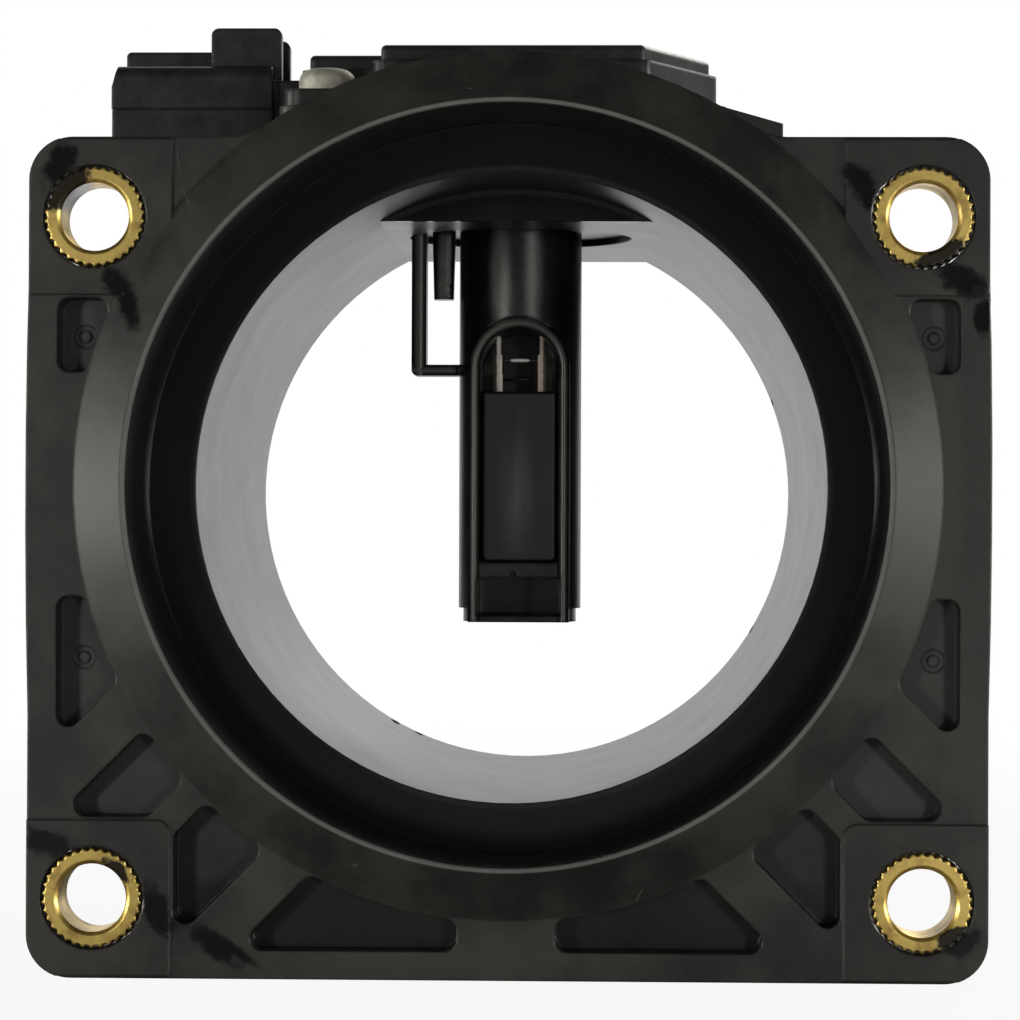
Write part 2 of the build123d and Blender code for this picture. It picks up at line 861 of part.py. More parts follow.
def make_screw(name, place):
    """Pan head screw with a cross recess, through the base into the seat."""
    head_top = base_z + screw_head_height
    with BuildPart() as screw:
        with BuildSketch(Plane(origin=(*place, 0), x_dir=(1, 0, 0), z_dir=(0, -1, 0))) as profile:
            with BuildLine():
                Polyline(
                    (0, base_z - screw_length),
                    (screw_radius, base_z - screw_length),
                    (screw_radius, base_z),
                    (screw_head_radius, base_z),
                    (screw_head_radius, head_top),
                    (0, head_top),
                    close=True,
                )
            make_face()
            rim = profile.vertices().group_by(Axis.Y)[-1].sort_by(Axis.X)[-1]
            fillet(rim, screw_head_rounding)
        revolve(axis=Axis((*place, 0), (0, 0, 1)))
        with BuildSketch(level(head_top)):
            with Locations(place):
                Rectangle(recess_length, recess_width)
                Rectangle(recess_width, recess_length)
        extrude(amount=-recess_depth, mode=Mode.SUBTRACT)
    screw.part.label = name
    return screw


screws = {name: make_screw(name, place) for name, place in screw_places.items()}


# Air temperature bead, tapered towards its tip
with BuildPart() as air_temperature_bead:
    with BuildSketch(level(collar_z)):
        with Locations((bead_x, module_y)):
            RectangleRounded(bead_size_x, bead_size_y, bead_size_x / 3)
    extrude(amount=-(collar_z - axis_height - bead_tip), taper=bead_taper)
    with BuildSketch(level(collar_z)):
        with Locations((bead_x, module_y)):
            Circle(bead_root_radius)
    extrude(amount=bead_root_length)
air_temperature_bead.part.label = "air_temperature_bead"


def make_post(name, place, rise):
    """Flat metal post from the roof of the chamber, wider below the wire."""
    top = frame_z + opening_radius + post_root_length - post_clearance
    shoulder = frame_z + rise + 2 * element_radius
    with BuildPart() as post:
        with BuildSketch(across(place[1] - post_depth / 2)):
            with Locations((place[0], shoulder)):
                Rectangle(post_upper_width, top - shoulder, align=(Align.CENTER, Align.MIN))
                Rectangle(
                    post_lower_width,
                    shoulder - frame_z + post_drop,
                    align=(Align.CENTER, Align.MAX),
                )
        extrude(amount=-post_depth)
    post.part.label = name
    return post


posts = {
    name: make_post(name, place, hot_rise if name.startswith("hot") else cold_rise)
    for name, place in post_places.items()
}


def make_wire(name, y, z):
    """Coated element on its two leads, between a pair of posts."""
    centre = Plane(origin=(0, y, z), x_dir=(1, 0, 0), z_dir=(0, -1, 0))
    with BuildPart() as wire:
        with BuildSketch(centre):
            Rectangle(2 * post_inner_x, lead_radius, align=(Align.CENTER, Align.MIN))
            Rectangle(element_length, element_radius, align=(Align.CENTER, Align.MIN))
        revolve(axis=Axis((0, y, z), (1, 0, 0)))
    wire.part.label = name
    return wire


wires = {
    "hot_wire": make_wire("hot_wire", module_y + hot_y, frame_z + hot_rise),
    "cold_wire": make_wire("cold_wire", module_y + cold_y, frame_z + cold_rise),
}


# Circuit board on its standoffs
with BuildPart() as circuit_board:
    with BuildSketch(level(board_z)):
        with Locations(((board_left + board_right) / 2, (board_front + board_rear) / 2)):
            Rectangle(board_right - board_left, board_rear - board_front)
    extrude(amount=board_thickness)
circuit_board.part.label = "circuit_board"


def make_terminal(name, y):
    """Blade in the connector that rises to the top of the circuit board."""
    with BuildPart() as terminal:
        with BuildSketch(across(y)):
            add(terminal_outline(0))
        extrude(amount=terminal_width / 2, both=True)
    terminal.part.label = name
    return terminal


terminals = {
    f"terminal_{number + 1}": make_terminal(f"terminal_{number + 1}", y)
    for number, y in enumerate(terminal_places)
}

pieces = {
    "duct_body": duct_body,
    "sensor_housing": sensor_housing,
    "housing_cover": housing_cover,
    "bypass_cover": bypass_cover,
    "collar_seal": collar_seal,
    "air_temperature_bead": air_temperature_bead,
    "circuit_board": circuit_board,
    **bushings,
    **screws,
    **posts,
    **wires,
    **terminals,
}
os.makedirs("parts", exist_ok=True)
for name, piece in pieces.items():
    export_step(piece.part, f"parts/{name}.step")
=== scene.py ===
import math

import bpy
import numpy as np
from mathutils import Matrix, Vector


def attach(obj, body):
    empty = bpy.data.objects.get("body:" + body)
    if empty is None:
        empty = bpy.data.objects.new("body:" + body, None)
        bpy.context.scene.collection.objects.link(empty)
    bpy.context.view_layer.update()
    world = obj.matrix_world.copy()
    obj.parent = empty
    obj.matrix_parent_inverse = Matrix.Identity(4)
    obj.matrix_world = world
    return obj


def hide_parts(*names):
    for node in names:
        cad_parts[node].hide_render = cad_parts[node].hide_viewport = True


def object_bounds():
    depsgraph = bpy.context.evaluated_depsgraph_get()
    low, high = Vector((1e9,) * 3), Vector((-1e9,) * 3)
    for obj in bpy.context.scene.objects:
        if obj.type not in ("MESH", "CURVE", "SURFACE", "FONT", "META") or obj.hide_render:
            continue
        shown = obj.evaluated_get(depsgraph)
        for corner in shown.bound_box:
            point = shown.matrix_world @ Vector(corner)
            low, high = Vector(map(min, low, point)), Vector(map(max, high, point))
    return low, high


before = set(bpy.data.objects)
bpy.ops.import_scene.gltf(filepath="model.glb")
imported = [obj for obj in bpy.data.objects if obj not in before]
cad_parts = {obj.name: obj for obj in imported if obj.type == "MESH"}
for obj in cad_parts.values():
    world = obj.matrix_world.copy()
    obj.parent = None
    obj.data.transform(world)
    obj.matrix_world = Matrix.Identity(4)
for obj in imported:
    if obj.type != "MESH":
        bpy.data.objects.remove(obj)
cad_low, cad_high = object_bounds()

bl_info = {
    "name": "Mass airflow sensor",
    "version": (1, 0, 0),
    "blender": (4, 5, 0),
    "location": "3D View > Sidebar > Sensor",
    "description": "Finishes and fine pieces of a mass airflow sensor, with a plain studio",
    "category": "Add Mesh",
}

MM = 0.001

# Sizes and places of the solids that the finishes and fine pieces follow, in millimetres
AXIS_Z = 7.5
BORE_RADIUS = 33.8
MOUTH_RADIUS = 39.0
LIP_Y = cad_low[1] / MM
RING_RADIUS = 44.6
POCKET_DEPTH = 3.6
BOLT_HOLE_RADIUS = 3.5
BUSHING_RADIUS = 5.25
LAND_Y = 32.7
STEM_RADIUS = 7.25
FRAME_FACE_Y = 48.6
ARCH_Z = 22.0
ARCH_RADIUS = 5.24
ARCH_HALF_WIDTH = 0.69
GUARD_X = -12.0
GUARD_HALF_WIDTH = 0.88
GUARD_FACE_Y = 53.2
GUARD_BOTTOM_Z = 21.2
GUARD_BAR_Z = 21.85
GUARD_BAR_HALF = 0.65

# Sensing elements: half the coated length, the radius of the leads, and how far the leads
# reach into the posts
ELEMENT_HALF_LENGTH = 1.15
LEAD_RADIUS = 0.07
INTO_POST = 0.12

# Moulding pip on the bar below the panel
PIP_CENTRE = (-0.63, FRAME_FACE_Y, -2.24)
PIP_RADIUS = 0.34
PIP_HEIGHT = 0.1
PIP_FOOT = 0.1

# Marks are ragged ellipsoids: centre and half sizes in millimetres, and lean in degrees.
# Oily streaks on the front of the flange:
STREAKS = (
    ((-46.1, 0, 40.4), (3.1, 3, 1.7), 70),
    ((-45.3, 0, 38.1), (2.2, 3, 1.7), 40),
    ((-40.2, 0, 28.1), (2.0, 3, 1.6), 130),
    ((-38.9, 0, 25.8), (3.9, 3, 1.2), 112),
    ((36.4, 0, 38.0), (3.5, 3, 1.5), 123),
    ((46.4, 0, 28.6), (3.3, 3, 1.8), 158),
    ((48.6, 0, 24.9), (1.1, 3, 2.1), 0),
    ((-47.4, 0, -29.3), (3.6, 3, 1.5), 168),
    ((-35.7, 0, -36.2), (3.2, 3, 1.6), 118),
    ((-29.9, 0, -39.7), (3.6, 3, 1.3), 142),
    ((-28.4, 0, -39.9), (3.9, 3, 0.7), 145),
    ((46.6, 0, -38.9), (2.4, 3, 1.8), 20),
)
# Pale scratches on the ring and the flange:
SCRATCHES = (
    ((13.7, 0, -34.3), (0.9, 4, 0.09), 62),
    ((-15.3, 0, -31.3), (0.45, 4, 0.12), 20),
    ((-3.9, 0, 47.9), (0.4, 4, 0.14), 0),
    ((-33.9, 0, 40.6), (1.5, 4, 0.06), 98),
    ((-33.0, 0, 36.8), (1.7, 4, 0.06), 115),
)
# Crumbs of dirt on the wall of the bore near its outlet:
CRUMB_SIZE = (0.75, 1.8, 0.6)
CRUMBS = (
    ((-16.7, 86.6, -21.9), CRUMB_SIZE, 0),
    ((-13.7, 87.4, -23.4), CRUMB_SIZE, 0),
    ((31.6, 87.0, 19.4), CRUMB_SIZE, 0),
    ((29.0, 87.2, -9.8), CRUMB_SIZE, 0),
)
# Oily dirt on the limiters, and last the painted shade in the bevel of the lower left one, with a
# narrower soft edge for the last two, the last one thinner:
LIMITER_DIRT = (
    ((-46.1, 0, 38.6), (3.5, 9, 2.8), 40),
    ((44.2, 0, 31.0), (3.0, 9, 1.3), 28),
)
LIMITER_SMEAR = (((45.8, 0, -38.6), (2.0, 9, 1.3), 20),)
# Painted shade in the bevel of the lower left limiter:
LIMITER_SHADE = (((-40.0, 0, -32.2), (1.9, 9, 0.9), 135),)

# Painted highlights are paler ellipsoids: centre and half sizes in millimetres, and strength
CASE_HIGHLIGHTS = (
    ((-2.3, 48.2, 33.0), (1.7, 2.0, 9.0), 2.3),
    ((1.6, 47.9, 33.0), (1.6, 2.0, 9.0), 0.9),
    ((-12.1, 53.2, 28.0), (0.6, 2.0, 12.0), 1.6),
    ((-8.5, 53.2, 21.9), (5.0, 2.0, 0.6), 1.4),
)
PANEL_HIGHLIGHT = (((-0.3, 49.7, 7.0), (2.9, 3.0, 9.5), 0.62),)
BEAD_HIGHLIGHT = (((-9.25, 53.0, 31.5), (1.0, 4.0, 9.0), 2.2),)

# Colours of what lies on the plastics and metals or is rubbed through them, and of the light and
# shade painted on them
SHADED = (0.004, 0.004, 0.004)
SOOT = (0.002, 0.002, 0.002)
OIL = (0.0025, 0.002, 0.0015)
DARK_BORDER = (0.003, 0.003, 0.0025)
# Oily dirt on the limiters, and painted shade in one bevel:
GREASE_AND_SHADE = (0.004, 0.003, 0.0025)
# Painted shade on the bottom pocket floors, then painted light on those at the sides:
SHADED_POCKET_FLOOR = (0.003, 0.003, 0.003)
LIT_POCKET_FLOOR = (0.055, 0.055, 0.053)
# Painted light on the webs of the lower half, as from light bounced up off the floor:
LIT_WEB = (0.05, 0.048, 0.042)
# Painted highlight along the lip of the mouth:
LIP_HIGHLIGHT = (0.16, 0.16, 0.15)
SCRATCHED = (0.11, 0.11, 0.105)
# Painted highlights on the mouldings, then on the crests of their beads:
PAINTED_HIGHLIGHT = (0.16, 0.16, 0.155)
CREST_HIGHLIGHT = (0.15, 0.15, 0.142)
TARNISH = (0.38, 0.25, 0.08)
# Solder of the posts, with painted light on one and painted shade on the other:
LIT_SOLDER = (1.0, 0.97, 0.88)
SHADED_SOLDER = (0.5, 0.42, 0.37)
FLUX = (0.05, 0.035, 0.02)

# Sheets of the studio: corners in metres, with the floor at the foot of the solids, then the
# matte share that the camera sees, and how far back gloss starts to see white, in millimetres
FLOOR_Z = cad_low[2]
SHEETS = (
    ("floor", [(-4, -4, FLOOR_Z), (4, -4, FLOOR_Z), (4, 4, FLOOR_Z), (-4, 4, FLOOR_Z)],
     0.08, (100.0, 200.0)),
    ("backdrop", [(-4, 3.0, FLOOR_Z), (4, 3.0, FLOOR_Z), (4, 3.0, 4), (-4, 3.0, 4)], 0.0, None),
)
# Lamps: place, width and height in metres, then the setting that holds the power, and its share
LAMPS = (
    ("lamp_left", (-0.79, -0.11, 0.01), (0.3, 0.11), "side_power", 1.0),
    ("lamp_right", (0.79, -0.11, 0.03), (0.3, 0.16), "side_power", 1.0),
    ("strip_left", (-0.44, -0.7, 0.005), (0.09, 0.085), "front_power", 1.0),
    ("strip_right", (0.33, -0.76, 0.005), (0.09, 0.085), "front_power", 0.6),
    ("lamp_back", (0.45, 0.8, 0.6), (0.5, 0.5), "back_power", 1.0),
)
LAMP_TARGET = (0, 0, 0.01)
# Colour of the lamps and the world, a little warm as in the photograph, and the world's strength
LIGHT = (1.0, 0.985, 0.93)
WORLD_STRENGTH = 0.11

# Camera that stands as the photograph's did: millimetres, degrees and lens in picture widths
CAMERA_PLACE = (9.62, -335.19, 3.06)
CAMERA_TURNS = ((1.586, "Z"), (90.328, "X"), (0.217, "Z"))
CAMERA_FILM = 36.0
CAMERA_LENS_WIDTHS = 3276.8 / 1020


class Value:
    """A shader socket in an expression: each operation adds the Math node that works it out."""

    def __init__(self, finish, socket):
        self.finish = finish
        self.socket = socket

    def math(self, operation, *others):
        """Adds one Math node on this value and up to two others."""
        values = dict(enumerate((self, *others)))
        return self.finish.node("ShaderNodeMath", {"operation": operation}, values)

    def __add__(self, other):
        return self.math("ADD", other)

    __radd__ = __add__

    def __mul__(self, other):
        return self.math("MULTIPLY", other)

    __rmul__ = __mul__

    def __sub__(self, other):
        return self.math("SUBTRACT", other)

    def __rsub__(self, other):
        return (self * -1.0) + other

    def __truediv__(self, other):
        return self.math("DIVIDE", other)

    def __abs__(self):
        return self.math("ABSOLUTE")

    def most(self, other):
        """The larger of two values."""
        return self.math("MAXIMUM", other)

    def least(self, other):
        """The smaller of two values."""
        return self.math("MINIMUM", other)

    def ramp(self, low, high):
        """0 below low, 1 above high and a smooth step between them."""
        values = {"Value": self, "From Min": low, "From Max": high}
        options = {"interpolation_type": "SMOOTHSTEP", "clamp": True}
        return self.finish.node("ShaderNodeMapRange", options, values, "Result")

    def band(self, low, high, soft):
        """1 between low and high, and 0 outside, with soft sides."""
        return self.ramp(low - soft, low + soft) * (1 - self.ramp(high - soft, high + soft))


class Finish:
    """A node material. node() adds any node, and expressions on its values add Math nodes."""

    def __init__(self, name):
        self.material = bpy.data.materials.new(name)
        self.material.use_nodes = True
        self.tree = self.material.node_tree
        self.tree.nodes.clear()
        self.out = self.tree.nodes.new("ShaderNodeOutputMaterial")

    def node(self, kind, options=None, values=None, output=0):
        """Adds a node, sets its options, then fills or links its sockets by name or number."""
        made = self.tree.nodes.new(kind)
        for name, value in (options or {}).items():
            setattr(made, name, value)
        for name, value in (values or {}).items():
            if isinstance(value, Value):
                self.tree.links.new(value.socket, made.inputs[name])
            else:
                made.inputs[name].default_value = value
        return Value(self, made.outputs[output])

    def outputs(self, value, names):
        """Several outputs of the node that a value comes from."""
        return [Value(self, value.socket.node.outputs[name]) for name in names]

    def place(self):
        """Object coordinates, in metres."""
        return self.node("ShaderNodeTexCoord", output="Object")

    def axes(self, place):
        """X, Y and Z of a place, in millimetres."""
        values = {0: place, "Scale": 1 / MM}
        scaled = self.node("ShaderNodeVectorMath", {"operation": "SCALE"}, values)
        split = self.node("ShaderNodeSeparateXYZ", None, {"Vector": scaled})
        return self.outputs(split, ("X", "Y", "Z"))

    def stretched(self, place, scale):
        """A place with its axes scaled, for grain that runs one way."""
        return self.node("ShaderNodeMapping", None, {"Vector": place, "Scale": scale})

    def reach(self, place, centre, size, lean=0.0):
        """Distance from a centre, where 1 is the surface of an ellipsoid, all in millimetres."""
        values = {
            "Vector": place,
            "Location": tuple(c * MM for c in centre),
            "Rotation": (0.0, -math.radians(lean), 0.0),
            "Scale": tuple(c * MM for c in size),
        }
        local = self.node("ShaderNodeMapping", {"vector_type": "TEXTURE"}, values)
        return self.node("ShaderNodeVectorMath", {"operation": "LENGTH"}, {0: local}, "Value")

    def from_axis(self, place):
        """Distance from the axis of the duct, in millimetres."""
        return self.reach(place, (0, 0, AXIS_Z), (1, 1e6, 1))

    def marks(self, place, rows, ragged, inner, outer):
        """1 within any of several marks and 0 outside, with edges as ragged as that noise."""
        found = None
        for centre, size, lean in rows:
            mark = 1 - (self.reach(place, centre, size, lean) + ragged).ramp(inner, outer)
            found = mark if found is None else found.most(mark)
        return found

    def noise(self, place, scale, detail=2.0, roughness=0.5):
        """Noise from 0 to 1 with that many waves to the metre."""
        values = {"Vector": place, "Scale": scale, "Detail": detail, "Roughness": roughness}
        return self.node("ShaderNodeTexNoise", None, values)

    def blend(self, amount, low, high):
        """A colour between two others, each of them a colour or a value that holds one."""
        made = self.tree.nodes.new("ShaderNodeMix")
        made.data_type = "RGBA"
        for number, value in ((0, amount), (6, low), (7, high)):
            socket = made.inputs[number]
            if isinstance(value, Value):
                self.tree.links.new(value.socket, socket)
            else:
                socket.default_value = (*value, 1.0) if number else value
        return Value(self, made.outputs[2])

    def rounded(self, radius):
        """Normal of the surface as if its sharp edges had a small radius."""
        return self.node("ShaderNodeBevel", {"samples": 4}, {"Radius": radius})

    def bump(self, height, distance, strength=1.0, normal=None):
        """Normal of the surface raised by a height from 0 to 1 times the distance."""
        values = {"Height": height, "Distance": distance * MM, "Strength": strength}
        if normal is not None:
            values["Normal"] = normal
        return self.node("ShaderNodeBump", None, values)

    def surface(self, **sockets):
        """Ends the material in a Principled shader. Words in a socket's name are joined by _."""
        values = {name.replace("_", " "): value for name, value in sockets.items()}
        shader = self.node("ShaderNodeBsdfPrincipled", None, values)
        self.tree.links.new(shader.socket, self.out.inputs["Surface"])
        return self.material


def times(share, color):
    """A colour made darker or lighter by a share."""
    return tuple(share * c for c in color)


def box(node):
    """Low and high corner of a CAD node, in millimetres."""
    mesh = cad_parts[node].data
    points = np.empty(3 * len(mesh.vertices))
    mesh.vertices.foreach_get("co", points)
    points = points.reshape(-1, 3) / MM
    return points.min(axis=0), points.max(axis=0)


def dress(node, material):
    """Gives a CAD node its material in each of its slots."""
    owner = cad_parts[node]
    if not owner.material_slots:
        owner.data.materials.append(material)
    for slot in owner.material_slots:
        slot.material = material


def link(name, data):
    """Makes an object from its data and puts it in the scene."""
    owner = bpy.data.objects.new(name, data)
    bpy.context.scene.collection.objects.link(owner)
    return owner


def add_piece(name, points, faces, material, nodes=()):
    """Makes one mesh piece in the frame from an array of points and a list of faces."""
    mesh = bpy.data.meshes.new(name)
    mesh.from_pydata((points * MM).tolist(), [], faces)
    mesh.materials.append(material)
    mesh.polygons.foreach_set("use_smooth", np.ones(len(mesh.polygons), dtype=bool))
    mesh.validate()
    mesh.update()
    piece = link(name, mesh)
    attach(piece, "root")
    if nodes:
        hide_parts(*nodes)


def ring_faces(rows, columns):
    """Quads of a grid that closes on itself both ways, numbered row by row."""
    row, column = np.meshgrid(np.arange(rows), np.arange(columns), indexing="ij")
    below = (row + 1) % rows
    beside = (column + 1) % columns
    corners = (
        row * columns + column, row * columns + beside,
        below * columns + beside, below * columns + column,
    )
    return np.stack(corners, axis=-1).reshape(-1, 4).tolist()


def capped_faces(rows, columns):
    """Quads between open rows of a grid, and triangles from its ends to two poles after it."""
    row, column = np.meshgrid(np.arange(rows - 1), np.arange(columns), indexing="ij")
    beside = (column + 1) % columns
    corners = (
        row * columns + column, (row + 1) * columns + column,
        (row + 1) * columns + beside, row * columns + beside,
    )
    walls = np.stack(corners, axis=-1).reshape(-1, 4).tolist()
    ring = np.arange(columns)
    after = (ring + 1) % columns
    first, last = rows * columns, rows * columns + 1
    start = np.stack([np.full(columns, first), ring, after], axis=-1)
    base = (rows - 1) * columns
    end = np.stack([np.full(columns, last), base + after, base + ring], axis=-1)
    return walls + start.tolist() + end.tolist()


def settings():
    """The values that a user may change."""
    return bpy.context.scene.airflow_sensor


class SensorSettings(bpy.types.PropertyGroup):
    """Sizes and colours of the sensor's finishes and fine pieces."""

    duct_color: bpy.props.FloatVectorProperty(
        name="Duct colour", description="Colour of the duct's moulded plastic",
        subtype="COLOR", size=3, default=(0.0155, 0.015, 0.0133), min=0.0, max=1.0,
    )
    module_color: bpy.props.FloatVectorProperty(
        name="Module colour", description="Colour of the sensor module's plastic",
        subtype="COLOR", size=3, default=(0.01, 0.01, 0.0102), min=0.0, max=1.0,
    )
    brass_color: bpy.props.FloatVectorProperty(
        name="Brass colour", description="Colour of the compression limiters",
        subtype="COLOR", size=3, default=(0.74, 0.55, 0.17), min=0.0, max=1.0,
    )
    screw_color: bpy.props.FloatVectorProperty(
        name="Screw colour", description="Colour of the plated screws",
        subtype="COLOR", size=3, default=(0.6, 0.59, 0.52), min=0.0, max=1.0,
    )
    edge_radius: bpy.props.FloatProperty(
        name="Edge radius", description="Radius that softens the moulded edges",
        subtype="DISTANCE", unit="LENGTH", default=0.35 * MM, min=0.0, max=2 * MM,
    )
    knurl_teeth: bpy.props.IntProperty(
        name="Knurl teeth", description="Teeth round each compression limiter",
        default=34, min=3, max=90,
    )
    knurl_depth: bpy.props.FloatProperty(
        name="Knurl depth", description="Depth of the grooves between the teeth",
        subtype="DISTANCE", unit="LENGTH", default=0.3 * MM, min=0.0, max=1 * MM,
    )
    element_radius: bpy.props.FloatProperty(
        name="Element radius", description="Radius of the coated sensing elements",
        subtype="DISTANCE", unit="LENGTH", default=0.2 * MM, min=0.05 * MM, max=0.3 * MM,
    )
    streak_strength: bpy.props.FloatProperty(
        name="Streaks", description="How dark the oily streaks on the flange are",
        subtype="FACTOR", default=1.0, min=0.0, max=1.0,
    )
    side_power: bpy.props.FloatProperty(
        name="Side lamps", description="Power of each lamp beside the sensor", default=3.1, min=0.0,
    )
    back_power: bpy.props.FloatProperty(
        name="Back lamp", description="Power of the soft lamp behind", default=4.0, min=0.0,
    )
    front_power: bpy.props.FloatProperty(
        name="Front lamps", description="Power of each strip in front", default=1.25, min=0.0,
    )


class DuctFinish(Finish):
    """The duct's plastic. Each method gives masks from 0 to 1 for one part of its surface."""

    def __init__(self):
        super().__init__("duct_plastic")
        self.spot = self.place()
        self.x, self.y, self.z = self.axes(self.spot)
        self.axis = self.from_axis(self.spot)
        self.cloud = self.noise(self.spot, 130.0, 5.0, 0.68)
        self.ragged = self.noise(self.spot, 620.0, 4.0, 0.65) * 1.5 - 0.75
        self.face = 1 - self.y.ramp(0.5, 1.0)

    def mouth(self):
        """Everything inside the rim and behind its lip, and what is wider than the bore."""
        past_lip = self.y.ramp(LIP_Y + 0.15, LIP_Y + 0.6)
        inside = (1 - self.axis.ramp(MOUTH_RADIUS + 0.1, MOUTH_RADIUS + 0.5)) * past_lip
        return inside, self.axis.ramp(BORE_RADIUS + 0.4, BORE_RADIUS + 0.9)

    def grime(self):
        """Specks round the edge of the bore."""
        specks = self.noise(self.spot, 700.0, 2.0, 0.7).ramp(0.71, 0.75)
        return specks * self.axis.band(BORE_RADIUS - 0.8, BORE_RADIUS + 2.7, 0.4)

    def rim(self):
        """The corner of the rim, with a painted highlight along it."""
        lip_highlight = self.axis.band(MOUTH_RADIUS, MOUTH_RADIUS + 0.42, 0.08)
        lip_highlight = lip_highlight * (1 - self.y.ramp(LIP_Y + 0.2, LIP_Y + 1.0))
        return lip_highlight * (self.cloud * 0.6 + 0.5)

    def webs(self):
        """Webs beside the lower half of the ring, with painted light that makes them lighter than
        the corners.
        """
        lit_webs = self.axis.band(RING_RADIUS + 1.4, RING_RADIUS + 5.9, 2.5)
        lit_webs = lit_webs * self.face * (1 - self.z.ramp(-20.0, 0.0))
        return lit_webs * (self.cloud * 0.7 + 0.1)

    def pocket_floors(self):
        """Painted light in clouds on the pocket floors at the sides, and painted shade on the
        floors along the bottom.
        """
        floor = self.y.ramp(POCKET_DEPTH - 2.1, POCKET_DEPTH - 1.1)
        floor = floor * (1 - self.y.ramp(POCKET_DEPTH + 1.9, POCKET_DEPTH + 2.4))
        floor = floor * self.axis.ramp(RING_RADIUS - 1.1, RING_RADIUS - 0.1)
        lit_side_floors = floor * (1 - abs(self.z).ramp(25.0, 28.0)) * (self.cloud * 0.8 + 0.2)
        return lit_side_floors, floor * (1 - self.z.ramp(-34.5, -32.5))

    def border(self):
        """The right border of the face above the middle, darker and glossier all along."""
        border = self.x.ramp(45.2, 47.0) * self.face * self.z.ramp(-20.0, 0.0)
        return border * (1 - self.z.ramp(26.0, 29.0)) * (self.cloud * 0.6 + 0.45)

    def land(self):
        """The flat front of the land that carries the sensor."""
        land = self.y.band(LAND_Y - 0.6, LAND_Y + 0.6, 0.2) * self.z.ramp(21.5, 22.5)
        return land * (1 - self.axis.ramp(BORE_RADIUS - 0.9, BORE_RADIUS - 0.5))


def duct_plastic():
    """Satin black duct: cloudy sheen, smooth dark mouth, a painted highlight on the rim, oily
    streaks and specks.
    """
    s = settings()
    finish = DuctFinish()
    cloud = finish.cloud
    patch = finish.noise(finish.spot, 36.0, 3.0, 0.55)
    fine = finish.noise(finish.spot, 2400.0, 2.0)
    inside, mouth = finish.mouth()
    lit_side_floors, shaded_bottom_floors = finish.pocket_floors()
    border = finish.border()
    front = 1 - finish.y.ramp(1.0, 1.4)
    streaks = finish.marks(finish.spot, STREAKS, finish.ragged, 0.45, 1.25)
    streaks = streaks * s.streak_strength * front * (0.8 + fine * 0.4).least(1.0)
    scratches = finish.marks(finish.spot, SCRATCHES, finish.ragged * 0.5, 0.7, 1.1) * front
    crumbs = finish.marks(finish.spot, CRUMBS, finish.ragged, 0.7, 1.0)
    # Each colour lies over those before it
    layers = (
        (inside * (0.75 + mouth * 0.25), SHADED),
        (finish.grime() * inside, SOOT),
        # Painted highlight along the lip of the mouth
        (finish.rim(), LIP_HIGHLIGHT),
        # Painted light on the lower webs
        (finish.webs(), LIT_WEB),
        # Painted light on the side pocket floors, then painted shade on the bottom ones
        (lit_side_floors, LIT_POCKET_FLOOR),
        (shaded_bottom_floors * 0.8, SHADED_POCKET_FLOOR),
        (border * 0.8, DARK_BORDER),
        (streaks, OIL),
        (scratches * 0.5, SCRATCHED),
        (crumbs, SOOT),
    )
    tone = (cloud * 0.45 + patch * 0.55).ramp(0.4, 0.61)
    color = tuple(s.duct_color)
    base = finish.blend(tone, times(0.45, color), times(2.0, color))
    for amount, over in layers:
        base = finish.blend(amount, base, over)
    # Gloss is higher in the bore, and highest in the mouth and on the front of the land
    sheen = cloud * 0.16 + patch * 0.1 + 0.3
    bore = cloud * 0.12 + 0.27
    rough = sheen * (1 - inside) + (bore - mouth * 0.16) * inside
    rough = rough.most(crumbs) - streaks * 0.28 - border * 0.14
    rough = (rough - finish.land() * inside * 0.2 - shaded_bottom_floors * 0.12).most(0.12)
    normal = finish.bump(fine, 0.02, 0.3, finish.rounded(s.edge_radius))
    return finish.surface(Base_Color=base, Roughness=rough, Normal=normal)


def beads(finish, place, normal):
    """Normal and height that round the arch with its legs, and the guard, into half-round beads.

    Height = 1 - (distance from the middle line / half width) ^ 2, on their front faces only. The
    guard's is the nearer of its upright and its bar.
    """
    x, y, z = finish.axes(place)
    up = (z - ARCH_Z).most(0.0)
    span = (x * x + up * up).math("SQRT")
    off = (span - ARCH_RADIUS) / ARCH_HALF_WIDTH
    arch = (1 - off * off).most(0.0) * (1 - y.ramp(FRAME_FACE_Y + 0.1, FRAME_FACE_Y + 0.4))
    normal = finish.bump(arch, 0.42, 1.0, normal)
    upright = abs(x - GUARD_X) / GUARD_HALF_WIDTH
    bar = abs(z - GUARD_BAR_Z) / GUARD_BAR_HALF
    off = upright.least(bar)
    front = y.band(GUARD_FACE_Y - 0.2, GUARD_FACE_Y + 0.15, 0.05)
    front = front * (1 - x.ramp(-STEM_RADIUS - 0.35, -STEM_RADIUS - 0.05))
    front = front * z.ramp(GUARD_BOTTOM_Z - 0.2, GUARD_BOTTOM_Z)
    guard = (1 - off * off).most(0.0) * front
    return finish.bump(guard, 0.4, 1.0, normal), arch.most(guard)


